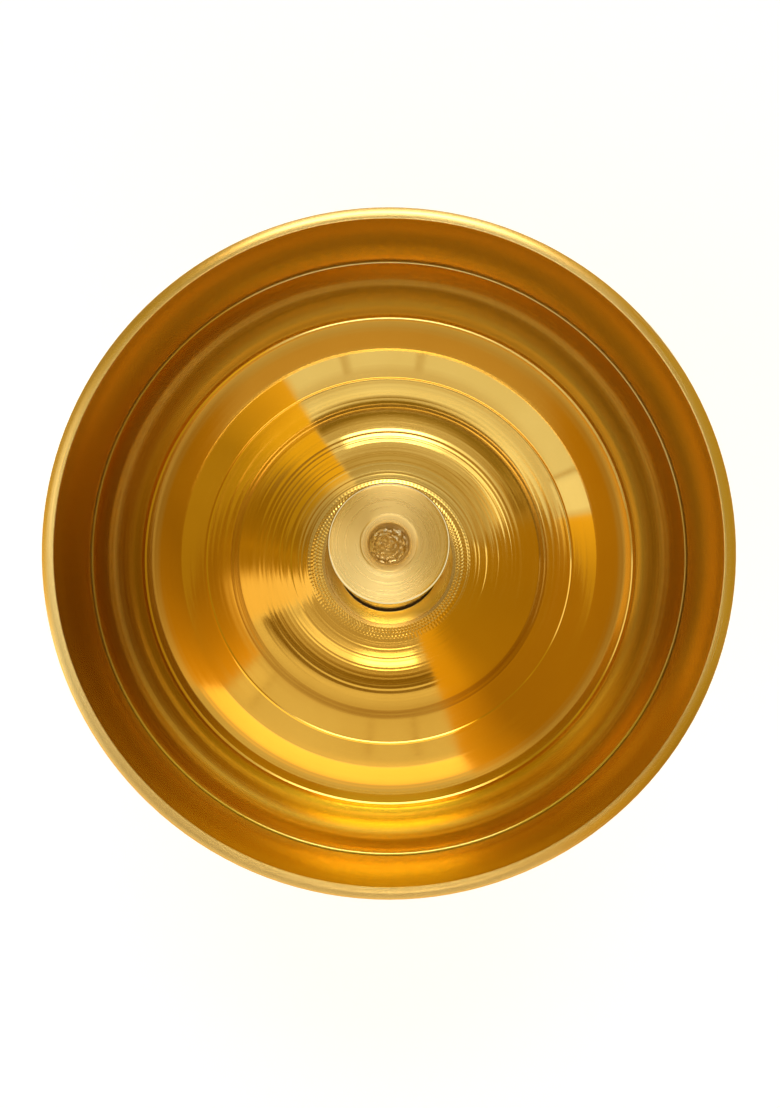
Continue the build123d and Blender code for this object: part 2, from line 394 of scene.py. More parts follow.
def profile_mesh(name, rows):
    """A string of points that carries what is done at each of them."""
    points = rows[:, :2]
    ahead = np.gradient(points, axis=0)
    ahead /= np.maximum(np.hypot(ahead[:, 0], ahead[:, 1]), 1e-9)[:, None]
    sideways = np.stack([-ahead[:, 1], np.zeros(len(points)), ahead[:, 0]], 1)
    across, up = np.diff(points, axis=0).T
    spacing = np.hypot(across, STEEP_SHARE * up)

    profile = bpy.data.meshes.new(name + "_profile")
    flat_points = np.insert(points * MM, 1, 0.0, axis=1)
    profile.from_pydata(flat_points.tolist(), [(i, i + 1) for i in range(len(points) - 1)], [])
    stored = (
        ("outward", "FLOAT_VECTOR", "vector", sideways),
        ("work", "FLOAT_VECTOR", "vector", rows[:, 3:6]),
        ("along", "FLOAT", "value", np.concatenate([[0], np.cumsum(spacing)]) * MM),
        ("finish", "INT", "value", rows[:, 2].astype(int)),
        ("torn", "FLOAT", "value", rows[:, 6]),
    )
    for label, kind, field, values in stored:
        profile.attributes.new(label, kind, "POINT").data.foreach_set(field, np.ravel(values))
    return profile


print(f"marks lie {1 / STEEP_SHARE:.0f} times as wide up a steep wall")

# %% Spin a profile
SHARP_EDGE = math.radians(38)
SLIVER = 1e-7


def close_shell(mesh):
    """Clears slivers, turns faces outwards, marks sharp edges and counts the edges that stay open."""
    shell = bmesh.new()
    shell.from_mesh(mesh)
    bmesh.ops.dissolve_degenerate(shell, dist=SLIVER, edges=shell.edges)
    bmesh.ops.recalc_face_normals(shell, faces=shell.faces)
    opened = sum(not edge.is_manifold for edge in shell.edges)
    shell.to_mesh(mesh)
    shell.free()
    mesh.set_sharp_from_angle(angle=SHARP_EDGE)
    return opened


def spin(
    name,
    body,
    runs,
    finishes,
    segments=96,
    ease=0.12,
    seed=0.0,
    flats=0.0,
    mark_pitch=0.25,
    mark_depth=0.0,
    thread_pitch=1.0,
    thread_depth=0.0,
    grain_size=0.3,
    grain_depth=0.0,
):
    """Joins runs to one profile, turns it on the lathe and hands the plain mesh to its body."""
    rows = [runs[0][0]]
    for part in runs:
        rows[-1] = np.concatenate([rows[-1][:2], part[0][2:]])
        rows += list(part[1:])
    rows = eased(np.array(rows), ease)
    profile = profile_mesh(name, rows)
    obj = bpy.data.objects.new(name, profile)
    scene.collection.objects.link(obj)
    modifier = obj.modifiers.new("lathe", "NODES")
    modifier.node_group = lathe
    settings = {
        "Segments": segments,
        "Mark Pitch": mark_pitch * MM,
        "Mark Depth": mark_depth * MM,
        "Seed": seed,
        "Thread Pitch": thread_pitch * MM,
        "Thread Depth": thread_depth / ZIGZAG * MM,
        "Across Flats": flats * MM,
        "Grain Size": grain_size * MM,
        "Grain Depth": grain_depth * MM,
    }
    settings.update(zip(FINISHES, finishes))
    for label, value in settings.items():
        modifier[lathe_ids[label]] = value
    evaluated = obj.evaluated_get(bpy.context.evaluated_depsgraph_get())
    mesh = bpy.data.meshes.new_from_object(evaluated)
    obj.modifiers.remove(modifier)
    obj.data = mesh
    mesh.name = name
    bpy.data.meshes.remove(profile)

    opened = close_shell(mesh)
    mesh.calc_loop_triangles()
    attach(obj, body)
    print(f"{name}: {len(mesh.loop_triangles)} triangles, {opened} open edges, {len(rows)} profile points")
    return obj


print(f"edges over {math.degrees(SHARP_EDGE):.0f} degrees are shaded as edges")

# %% [markdown]
# ## Turned and polished brass
#
# The cup, the pillar's side and the stem are brass, turned with a fine feed and then polished on the
# lathe. To the eye that is a deep yellow mirror which is smeared across the fine rings that the tool
# leaves. The colour is the metal's own, so the shader is fully metallic and keeps its default IOR; a
# little tarnish shifts the colour, and the fine rings are a bump that runs round the axis. Use leaves more
# on some pieces: a stain that sets in at a height, and dark scores between two radii. On the cup and the
# rim the colour is also painted lighter or darker from back to front, which is painted light and shade.

# %% Stain, painted light and scored band
# A stain's colour goes from back to front between these distances from the axis, in mm; this change is
# painted light and shade.
PAINTED_LIGHT_BACK, PAINTED_LIGHT_FRONT = -6, -26


def smooth_step(tree, amount, start, end):
    """Rises smoothly from 0 to 1 between two places in mm."""
    return add(
        tree,
        "ShaderNodeMapRange",
        {0: amount, 1: start * MM, 2: end * MM, 3: 0.0, 4: 1.0},
        interpolation_type="SMOOTHSTEP",
    )


def mixed_colour(tree, share, first, second):
    """A colour between two others."""
    return add(tree, "ShaderNodeMix", {0: share, 6: first, 7: second}, data_type="RGBA").outputs[2]


def stained_and_painted_light(tree, parts, colour, rough, clean, full, back, front, extra):
    """Colour and roughness with a stain that sets in between a clean and a full height, and painted light
    and shade from back to front.
    """
    height = smooth_step(tree, parts[2], clean, full)
    # Painted light and shade: the colour goes from the back colour to the front colour across y.
    painted_light_side = smooth_step(tree, parts[1], PAINTED_LIGHT_BACK, PAINTED_LIGHT_FRONT)
    stain_and_painted_light = mixed_colour(tree, painted_light_side, hex_linear(back), hex_linear(front))
    colour = mixed_colour(tree, height, colour, stain_and_painted_light)
    rough = add(tree, "ShaderNodeMath", {0: height, 1: extra, 2: rough}, operation="MULTIPLY_ADD")
    return colour, rough


def scored(tree, radius, rings, colour, rough, inner, outer, dark, extra):
    """Colour and roughness with dark scores between two radii."""
    half = (outer - inner) / 2 * MM
    off = add(tree, "ShaderNodeMath", {0: radius, 1: inner * MM + half}, operation="SUBTRACT")
    off = add(tree, "ShaderNodeMath", {0: off}, operation="ABSOLUTE")
    within = add(tree, "ShaderNodeMapRange", {0: off, 1: half, 2: 0.8 * half, 3: 0.0, 4: 1.0})
    within = add(tree, "ShaderNodeMath", {0: within, 1: rings}, operation="MULTIPLY")
    colour = mixed_colour(tree, within, colour, hex_linear(dark))
    rough = add(tree, "ShaderNodeMath", {0: within, 1: extra, 2: rough}, operation="MULTIPLY_ADD")
    return colour, rough


print(f"a stain changes over {PAINTED_LIGHT_BACK - PAINTED_LIGHT_FRONT} mm from back to front")

# %% [markdown]
# ### Chatter
#
# A tool that trembles leaves short dashes side by side, one row for each turn. A picture could show them,
# but a wave round the axis does too, and its size is known. White noise gives each row its own lag, so
# that the dashes of two rows don't line up.

# %% Chatter marks
# Chatter comes and goes in blotches, and fades out over this many mm.
CHATTER_BLOTCH = 1.2 * MM
CHATTER_FADE = 1.2


def chattered(tree, where, parts, radius, bump, dashes, row_width, reach_out, depth):
    """A bump with rows of dashes round the axis, out to a radius."""
    turn = add(tree, "ShaderNodeMath", {0: parts[1], 1: parts[0]}, operation="ARCTAN2")
    rows = add(tree, "ShaderNodeMath", {0: radius, 1: row_width * MM}, operation="DIVIDE")
    row = add(tree, "ShaderNodeMath", {0: rows}, operation="FLOOR")
    chance = add(tree, "ShaderNodeTexWhiteNoise", {"W": row}, noise_dimensions="1D")
    lag = add(tree, "ShaderNodeMath", {0: chance, 1: 2 * math.pi}, operation="MULTIPLY")
    wave = add(tree, "ShaderNodeMath", {0: turn, 1: dashes, 2: lag}, operation="MULTIPLY_ADD")
    wave = add(tree, "ShaderNodeMath", {0: wave}, operation="SINE")
    place = add(tree, "ShaderNodeMath", {0: rows}, operation="FRACT")
    place = add(tree, "ShaderNodeMath", {0: place, 1: math.pi}, operation="MULTIPLY")
    place = add(tree, "ShaderNodeMath", {0: place}, operation="SINE")
    wave = add(tree, "ShaderNodeMath", {0: wave, 1: place}, operation="MULTIPLY")
    blotch = add(tree, "ShaderNodeTexNoise", {"Vector": where, "Scale": 1 / CHATTER_BLOTCH, "Detail": 2.0})
    fade_from, fade_to = reach_out * MM, (reach_out - CHATTER_FADE) * MM
    near = add(tree, "ShaderNodeMapRange", {0: radius, 1: fade_from, 2: fade_to, 3: 0.0, 4: 1.0})
    near = add(tree, "ShaderNodeMath", {0: near, 1: blotch}, operation="MULTIPLY")
    wave = add(tree, "ShaderNodeMath", {0: wave, 1: near}, operation="MULTIPLY")
    return add(tree, "ShaderNodeBump", {"Distance": depth * MM, "Height": wave, "Normal": bump})


print(f"chatter fades out over {CHATTER_FADE} mm")

# %% [markdown]
# ### The metal itself
#
# One function makes every brass of the lamp, because they differ only in colour, polish and the rings of the
# tool. Noise along the radius and the height gives the rings, the same noise roughens them, and the tangent
# runs round the axis, so that highlights are drawn out across the rings as on real turned metal.

# %% Polished brass
# A real feed is near 0.1 mm a turn, which is too fine to show, so rings are drawn three times as wide.
RING_PITCH = 0.3 * MM
# The rings change slowly round the piece, this often in a metre, because no two turns are quite alike.
RING_DRIFT = 90.0
TARNISH_SIZE = 14 * MM


def turned_metal(
    name,
    bright,
    dull,
    roughness,
    spread,
    anisotropy,
    ring_pitch,
    ring_depth,
    stain_and_painted_light=None,
    chatter=None,
    band=None,
):
    """A metal with rings round the axis, and where asked for a stain with painted light and shade, chatter
    or a scored band.
    """
    material = bpy.data.materials.new(name)
    material.use_nodes = True
    tree = material.node_tree
    tree.nodes.clear()
    where = add(tree, "ShaderNodeTexCoord").outputs["Object"]
    parts = add(tree, "ShaderNodeSeparateXYZ", {0: where}).outputs
    around = add(tree, "ShaderNodeCombineXYZ", {0: parts[0], 1: parts[1]})
    radius = add(tree, "ShaderNodeVectorMath", {0: around}, operation="LENGTH").outputs["Value"]
    feed = add(tree, "ShaderNodeMath", {0: radius, 1: parts[2]}, operation="ADD")
    feed = add(tree, "ShaderNodeMath", {0: feed, 1: ring_pitch}, operation="DIVIDE")
    slow = add(tree, "ShaderNodeVectorMath", {0: where, 1: (RING_DRIFT,) * 3}, operation="MULTIPLY")
    rings = {"Vector": slow, "W": feed, "Scale": 1.0, "Detail": 2.0}
    rings = add(tree, "ShaderNodeTexNoise", rings, noise_dimensions="4D")
    patches = add(tree, "ShaderNodeTexNoise", {"Vector": where, "Scale": 1 / TARNISH_SIZE, "Detail": 6.0})
    colour = mixed_colour(tree, patches, hex_linear(bright), hex_linear(dull))
    rough = add(
        tree, "ShaderNodeMapRange", {0: rings, 1: 0.3, 2: 0.7, 3: roughness - spread, 4: roughness + spread}
    )
    bump = add(tree, "ShaderNodeBump", {"Strength": 1.0, "Distance": ring_depth, "Height": rings})
    if stain_and_painted_light:
        colour, rough = stained_and_painted_light(tree, parts, colour, rough, *stain_and_painted_light)
    if band:
        colour, rough = scored(tree, radius, rings, colour, rough, *band)
    if chatter:
        bump = chattered(tree, where, parts, radius, bump, *chatter)
    tangent = add(tree, "ShaderNodeTangent", direction_type="RADIAL", axis="Z")
    shader = add(
        tree,
        "ShaderNodeBsdfPrincipled",
        {
            "Base Color": colour,
            "Metallic": 1.0,
            "Roughness": rough,
            "Anisotropic": anisotropy,
            "Anisotropic Rotation": 0.25,
            "Tangent": tangent,
            "Normal": bump,
        },
    )
    add(tree, "ShaderNodeOutputMaterial", {0: shader})
    return material


# The numbers are the roughness and its spread, the anisotropy, and the pitch and depth of the rings.
polished = turned_metal(
    "turned_polished_brass", "EFC566", "BE8B3C", 0.14, 0.05, 0.5, RING_PITCH, 0.0012 * MM
)
print(f"{polished.name}: {len(polished.node_tree.nodes)} nodes")

# %% [markdown]
# ### Brass inside the cup, and of the pillar
#
# The floor of the cup is the brightest mirror of the lamp. The polish stops at the corner, and above it the
# wall has gone dull; there its colour is painted darker behind and paler in front, which is painted shade
# and painted light. Near the collar the tool has chattered, which leaves short dashes in rows, and it has
# scored one band of the floor. All of these could be painted as pictures, but each follows a height, a
# radius or a side, so they are sums on the place of a point. The pillar is a paler brass.

# %% Cup and pillar brass
# A stain has its clean and its full height, its colour behind and in front, and its added roughness. The
# colour behind is painted shade and the colour in front painted light.
CUP_STAIN_AND_PAINTED_LIGHT = (SEAT_Z + 5.5, SEAT_Z + 10.0, "C4B37A", "FAF294", 0.1)
# Chatter has its dashes a turn, and its row width, reach and depth in mm.
CUP_CHATTER = (132, 0.36, 10.2, 0.008)
# The scored band has its two radii in mm, its colour and its added roughness.
CUP_BAND = (18.2, 19.3, "B07C28", 0.06)
cup_brass = turned_metal(
    "turned_cup_brass",
    "FFD878",
    "E6BA54",
    0.05,
    0.02,
    0.45,
    RING_PITCH,
    0.0003 * MM,
    CUP_STAIN_AND_PAINTED_LIGHT,
    CUP_CHATTER,
    CUP_BAND,
)
pillar_brass = turned_metal(
    "turned_pillar_brass", "F6E4B2", "F0DAA2", 0.06, 0.03, 0.45, RING_PITCH, 0.0003 * MM
)
print(f"{cup_brass.name}: {len(cup_brass.node_tree.nodes)} nodes")

# %% [markdown]
# ## Faced, drilled, threaded and milled brass
#
# The rim and the pillar's top were faced with one pass of the tool and not polished, so they look satin
# and paler, with a fan of light that follows the turning. The bottom of the wick hole is torn by the
# drill, which gives a coarse sparkle. Rod and spigot carry cut threads, and the nut and washer have the
# even satin of bought parts.

# %% Satin and rough brass
faced = turned_metal("faced_satin_brass", "F6DA92", "EFCD80", 0.28, 0.04, 0.5, 0.2 * MM, 0.0004 * MM)
# The rim's colour is painted a little darker in front, which is painted shade.
RIM_PAINTED_SHADE = (-2.0, -1.0, "F6DA92", "D6B265", 0.0)
rim_brass = turned_metal(
    "faced_rim_brass", "F6DA92", "EFCD80", 0.24, 0.04, 0.5, 0.2 * MM, 0.0004 * MM, RIM_PAINTED_SHADE
)
drilled = turned_metal("drilled_brass", "F4E6BC", "E6CE98", 0.3, 0.1, 0.1, 0.45 * MM, 0.004 * MM)
threaded = turned_metal("thread_cut_brass", "E3B85E", "C4954A", 0.3, 0.06, 0.4, 0.2 * MM, 0.001 * MM)
# The joint at the pillar's foot is painted dark: painted shade of the gap there.
joint_painted_shade = turned_metal("painted_shade_joint_brass", "4A3820", "2A2014", 0.5, 0.1, 0.1, 0.3 * MM, 0.002 * MM)
milled = turned_metal("milled_satin_brass", "E0B662", "D2A552", 0.32, 0.05, 0.3, 0.3 * MM, 0.001 * MM)
print("materials:", len(bpy.data.materials))

# %% [markdown]
# ## The cup
#
# The inside is a shallow dish of a 59 mm sphere with a large rounded corner and a leaning wall. It is
# drawn by walking along the profile: at each step the walk knows its slope and adds what the tool did
# there. That way the turned lines and the passes of the tool, which differ by up to three degrees, are
# small changes of slope, and a mirror shows slope better than anything else.

# %% Walk along the inside
lean = math.pi / 2 - WALL_DRAFT
inner_r = RIM_RADIUS - RIM_WALL


def wall_meets(rim_radius, sphere_radius):
    """Where a leaning wall from the rim meets a sphere about the dish's centre."""
    drop = RIM_Z - DISH_Z
    along = rim_radius * math.sin(WALL_DRAFT) + drop * math.cos(WALL_DRAFT)
    length = along + math.sqrt(along**2 - (rim_radius**2 + drop**2 - sphere_radius**2))
    return np.array([rim_radius - length * math.sin(WALL_DRAFT), RIM_Z - length * math.cos(WALL_DRAFT)])


def corner_of(rim_radius, sphere_radius, corner):
    """Centre of the rounded corner and its two ends, on the dish and on the wall."""
    centre = wall_meets(rim_radius - corner / math.cos(WALL_DRAFT), sphere_radius - corner)
    middle = np.array([0.0, DISH_Z])
    on_dish = middle + (centre - middle) * sphere_radius / (sphere_radius - corner)
    on_wall = centre + corner * np.array([math.cos(WALL_DRAFT), -math.sin(WALL_DRAFT)])
    return centre, on_dish, on_wall


_, dish_end, wall_start = corner_of(inner_r, DISH_RADIUS, CORNER_RADIUS)
dish_slope = math.asin(dish_end[0] / DISH_RADIUS)
dish_length = DISH_RADIUS * (dish_slope - math.asin(SEAT_RADIUS / DISH_RADIUS))
corner_length = CORNER_RADIUS * (lean - dish_slope)
wall_length = math.dist(wall_start, (inner_r, RIM_Z))
print(f"along the profile: dish {dish_length:.1f}, corner {corner_length:.1f}, wall {wall_length:.1f} mm")

# %% [markdown]
# ### What the tool left
#
# Three turned lines and several passes of the tool can be told apart in the cup. They change its depth by a
# few tenths of a millimetre at most, which a drawing of the profile hardly shows, but a mirror turns each
# change of slope into a bright or a dark ring. A bump map would be lost when the mesh is used elsewhere,
# so they are cut into the profile itself.

# %% Slopes that the tool left
# Each pass of the tool: radius in mm and how much its slope differs from the sphere, in degrees.
PASSES = (
    (8.0, -3.0), (10.3, -2.8), (12.2, -2.5), (14.0, -1.6), (15.9, -0.8), (18.0, -0.4), (20.0, -0.1),
    (21.0, 0.0), (40.0, 0.0),
)
# How strong the fine marks are at a radius.
MARKS = (
    (8.0, 0.8), (9.6, 1.0), (12.0, 1.0), (12.4, 0.5), (14.8, 0.5), (15.2, 0.8), (16.1, 0.7), (16.4, 0.2),
    (18.0, 0.2), (18.2, 0.8), (19.2, 0.8), (19.4, 0.3), (20.0, 0.3), (21.6, 0.25), (22.9, 0.1), (24.6, 0.12),
    (25.2, 0.5), (28.5, 0.6), (29.0, 0.7), (31.0, 0.9), (32.4, 1.2), (34.0, 1.2),
)
# Turned lines: radius in mm, width of the step and length of its return.
LINES = ((21.9, 0.13, 0.1), (28.4, 0.18, 0.45), (32.5, 0.1, 0.8))
STEP_SLOPE = math.radians(16)
# Length of a step of the walk on the dish, in the corner and on the wall, in mm.
DISH_STEP, CORNER_STEP, WALL_STEP = 0.07, 0.1, 0.22


def inside_profile():
    """Points of the cup's inside from the seat to the rim, walked by slope."""
    whole = dish_length + corner_length + wall_length
    wall_from = dish_length + corner_length
    on_dish = np.arange(0, dish_length, DISH_STEP)
    on_corner = np.arange(dish_length, wall_from, CORNER_STEP)
    ways = np.concatenate([on_dish, on_corner, np.arange(wall_from, whole, WALL_STEP), [whole]])
    r, z = SEAT_RADIUS, SEAT_Z
    points = [(r, z)]
    lines = list(LINES)
    step_left, back_left, back_angle = 0.0, 0.0, 0.0
    for here, there in zip(ways, ways[1:]):
        length = there - here
        if here < dish_length:
            slope = math.asin(SEAT_RADIUS / DISH_RADIUS) + here / DISH_RADIUS
        elif here < wall_from:
            slope = dish_slope + (here - dish_length) / CORNER_RADIUS
        else:
            slope = lean
        slope += math.radians(np.interp(r, *zip(*PASSES)))
        if lines and r >= lines[0][0]:
            _, width, back = lines.pop(0)
            step_left, back_left = width, back
            back_angle = math.asin(min(0.9, width * math.sin(slope - STEP_SLOPE) / back))
        if step_left > 0:
            slope = STEP_SLOPE
            step_left -= length
        elif back_left > 0:
            slope += back_angle
            back_left -= length
        r += length * math.cos(slope)
        z += length * math.sin(slope)
        points.append((r, z))
    points = np.array(points)
    miss = np.array([inner_r, RIM_Z]) - points[-1]
    print(f"the walk misses the rim by {miss[0]:.3f}, {miss[1]:.3f} mm, which is spread over the profile")
    return points + np.outer(ways / whole, miss)


inside = inside_profile()

# %% [markdown]
# ### Outside of the cup
#
# The outside follows the inside at the thickness of the wall and runs through a hollow fillet into the
# neck, where the rod screws in. The cup is one closed profile, from the hole for the pillar out over the
# rim and back to the hole for the rod, so it is spun in one go.

# %% Spin the cup
outer_sphere = DISH_RADIUS + FLOOR_THICKNESS
outer_corner = CORNER_RADIUS + RIM_WALL
out_centre, out_dish, out_wall = corner_of(RIM_RADIUS, outer_sphere, outer_corner)


def arc(centre, radius, start, end, step=0.45):
    """An arc about a centre between two angles in radians."""
    parts = max(4, round(abs(radius * (end - start)) / step))
    turn = np.linspace(start, end, parts + 1)
    return np.array(centre) + radius * np.stack([np.cos(turn), np.sin(turn)], 1)


neck_centre_r = NECK_RADIUS + NECK_FILLET
neck_centre_z = DISH_Z - math.sqrt((outer_sphere + NECK_FILLET) ** 2 - neck_centre_r**2)
neck_slope = math.asin(neck_centre_r / (outer_sphere + NECK_FILLET))
out_slope = math.asin(out_dish[0] / outer_sphere)
# The rim is not quite flat: it falls outwards a little and is crowned.
RIM_FALL = 0.12
RIM_CROWN = 0.06
outside = [
    run((RIM_RADIUS, RIM_Z - RIM_FALL), out_wall, step=0.5),
    arc(out_centre, outer_corner, -WALL_DRAFT, out_slope - math.pi / 2),
    arc((0, DISH_Z), outer_sphere, out_slope - math.pi / 2, neck_slope - math.pi / 2),
    arc((neck_centre_r, neck_centre_z), NECK_FILLET, math.pi / 2 + neck_slope, math.pi, 0.3),
    run((NECK_RADIUS, neck_centre_z), (NECK_RADIUS, NECK_Z), step=0.5),
]
spigot_floor = SEAT_Z - SPIGOT_HOLE_DEPTH
rod_ceiling = NECK_Z + ROD_HOLE_DEPTH
bowl = spin(
    "bowl_turned",
    "cup",
    [
        piece_of(run((0, spigot_floor), (SPIGOT_HOLE, spigot_floor)), 2),
        piece_of(run((SPIGOT_HOLE, spigot_floor), (SPIGOT_HOLE, SEAT_Z), step=0.25), 2),
        piece_of(run((SPIGOT_HOLE, SEAT_Z), (SEAT_RADIUS, SEAT_Z), step=1.0)),
        piece_of(inside, 3, np.interp(inside[:, 0], *zip(*MARKS))),
        piece_of(bow((inner_r, RIM_Z), (RIM_RADIUS, RIM_Z - RIM_FALL), RIM_CROWN, 0.12), 1),
        *[piece_of(part, 0, 0.12) for part in outside],
        piece_of(run((NECK_RADIUS, NECK_Z), (ROD_HOLE, NECK_Z), step=1.0), 1),
        piece_of(run((ROD_HOLE, NECK_Z), (ROD_HOLE, rod_ceiling), step=0.3), 2),
        piece_of(run((ROD_HOLE, rod_ceiling), (0, rod_ceiling)), 2),
    ],
    (polished, rim_brass, threaded, cup_brass),
    segments=144,
    ease=0.16,
    seed=3.0,
    mark_pitch=0.42,
    mark_depth=0.006,
)
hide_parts("bowl")

# %% [markdown]
# ## The wick pillar and its collar
#
# The pillar is a round post with a countersunk hole for the wick. Below the collar it ends in a spigot
# with an M6 thread, which screws into the floor of the cup. The collar is a small flared ring that
# covers the joint and lifts off together with the pillar.

# %% Spin the pillar
TOP_Z = high("wick_pillar")
SPIGOT_END = low("wick_pillar")
SHOULDER_Z = high("pillar_collar")
PILLAR_RADIUS = reach("wick_pillar")
PILLAR_EDGE = 0.25
# The faced top falls a little towards its edge, which turns the light into a fan.
TOP_FALL = 0.2
TOP_CROWN = 0.02
EDGE_Z = TOP_Z - TOP_FALL - PILLAR_EDGE
HOLE_RADIUS = 2.0
HOLE_DEPTH = 4.5
SINK_RADIUS = 2.8
DRILL_HALF_ANGLE = math.radians(59)
THREAD_RELIEF = 0.3
SPIGOT_CHAMFER = 0.4
drill_tip = TOP_Z - HOLE_DEPTH - HOLE_RADIUS / math.tan(DRILL_HALF_ANGLE)
top_edge = PILLAR_RADIUS - PILLAR_EDGE
thread_top = SEAT_Z - THREAD_RELIEF
chamfer_z = SPIGOT_END + SPIGOT_CHAMFER
spigot_tip = SPIGOT_RADIUS - SPIGOT_CHAMFER
sink_z = TOP_Z - (SINK_RADIUS - HOLE_RADIUS)
pillar = spin(
    "wick_pillar_turned",
    "pillar",
    [
        piece_of(run((0, drill_tip), (HOLE_RADIUS, TOP_Z - HOLE_DEPTH), step=0.1), 2, torn=1.0),
        piece_of(run((HOLE_RADIUS, TOP_Z - HOLE_DEPTH), (HOLE_RADIUS, sink_z), step=0.4), 2),
        piece_of(run((HOLE_RADIUS, sink_z), (SINK_RADIUS, TOP_Z), step=0.3), 1),
        piece_of(bow((SINK_RADIUS, TOP_Z), (top_edge, TOP_Z - TOP_FALL), TOP_CROWN, 0.25), 1, 0.25),
        piece_of(run((top_edge, TOP_Z - TOP_FALL), (PILLAR_RADIUS, EDGE_Z)), 0),
        piece_of(run((PILLAR_RADIUS, EDGE_Z), (PILLAR_RADIUS, SHOULDER_Z), step=0.5), 0, 0.15),
        piece_of(run((PILLAR_RADIUS, SHOULDER_Z), (SPIGOT_RADIUS, SHOULDER_Z)), 1),
        piece_of(run((SPIGOT_RADIUS, SHOULDER_Z), (SPIGOT_RADIUS, thread_top), step=0.5), 2),
        piece_of(run((SPIGOT_RADIUS, thread_top), (SPIGOT_RADIUS, chamfer_z), step=0.14), 2, 0.0, 1.0),
        piece_of(run((SPIGOT_RADIUS, chamfer_z), (spigot_tip, SPIGOT_END), step=0.14), 2, 0.0, 0.3),
        piece_of(run((spigot_tip, SPIGOT_END), (0, SPIGOT_END)), 2),
    ],
    (pillar_brass, faced, drilled),
    segments=128,
    seed=11.0,
    mark_pitch=0.3,
    mark_depth=0.004,
    grain_size=0.34,
    grain_depth=0.22,
    thread_pitch=1.0,
    thread_depth=0.5,
)
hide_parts("wick_pillar")

# %% [markdown]
# ### The collar
#
# The collar's top is a shallow cove that catches the light in front of the pillar. Between the cove and the
# pillar a narrow land is painted dark, as painted shade of the gap there, and the pillar's side mirrors it,
# so that it is seen as a dark crescent. A short profile of five runs is enough for it.

# %% Spin the collar
LAND_WIDTH = 0.3
COLLAR_EDGE = 0.35
COLLAR_COVE = 0.12
COLLAR_RADIUS = reach("pillar_collar")
land = PILLAR_RADIUS + LAND_WIDTH
# The land next to the pillar takes the third finish, dark as painted shade.
collar = spin(
    "pillar_collar_turned",
    "collar",
    [
        piece_of(run((SPIGOT_HOLE, SHOULDER_Z), (land, SHOULDER_Z)), 2),
        piece_of(bow((land, SHOULDER_Z), (COLLAR_RADIUS, SEAT_Z + COLLAR_EDGE), -COLLAR_COVE, 0.15), 1, 0.6),
        piece_of(run((COLLAR_RADIUS, SEAT_Z + COLLAR_EDGE), (COLLAR_RADIUS, SEAT_Z), step=0.2)),
        piece_of(run((COLLAR_RADIUS, SEAT_Z), (SPIGOT_HOLE, SEAT_Z)), 1),
        piece_of(run((SPIGOT_HOLE, SEAT_Z), (SPIGOT_HOLE, SHOULDER_Z)), 1),
    ],
    (polished, faced, joint_painted_shade),
    seed=17.0,
    mark_depth=0.004,
)
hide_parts("pillar_collar")

# %% [markdown]
# ## The stem and the foot
#
# Under the cup come a bead ring, a ball knop and a trumpet-shaped stem, all bored for the rod, and the
# bell foot. The photograph doesn't show them, so they follow the plain form that such lamps have.

# %% Spin ring, knop and stem


def bead(name, node, body, face_radius, bore, seed):
    """A ring with a round outside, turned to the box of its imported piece."""
    bottom, top = low(node), high(node)
    rise = reach(node) - face_radius
    obj = spin(
        name,
        body,
        [
            piece_of(run((bore, top), (face_radius, top))),
            piece_of(bow((face_radius, top), (face_radius, bottom), rise, 0.2), 0, 0.15),
            piece_of(run((face_radius, bottom), (bore, bottom)), 1),
            piece_of(run((bore, bottom), (bore, top)), 1),
        ],
        (polished, faced, faced),
        seed=seed,
        mark_depth=0.004,
    )
    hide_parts(node)
    return obj


RING_FACE = 8.3
KNOP_FACE = 6.6
bead("neck_ring_turned", "neck_ring", "ring", RING_FACE, ROD_HOLE, 23.0)
bead("knop_turned", "knop", "base", KNOP_FACE, BORE, 29.0)

STEM_TOP_RADIUS = 6.2
STEM_HOLLOW = 1.0
stem_low, stem_top = low("stem"), high("stem")
stem = spin(
    "stem_turned",
    "base",
    [
        piece_of(run((BORE, stem_top), (STEM_TOP_RADIUS, stem_top))),
        piece_of(bow((STEM_TOP_RADIUS, stem_top), (reach("stem"), stem_low), -STEM_HOLLOW, 0.2), 0, 0.15),
        piece_of(run((reach("stem"), stem_low), (BORE, stem_low)), 1),
        piece_of(run((BORE, stem_low), (BORE, stem_top)), 1),
    ],
    (polished, faced, faced),
    seed=31.0,
    mark_depth=0.004,
)
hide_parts("stem")

# %% [markdown]
# ### The foot
#
# The foot is a thin bell, hollow underneath so that the nut stays clear of the table. Outside and inside are
# drawn as two bows with the same rise, which keeps the wall even.

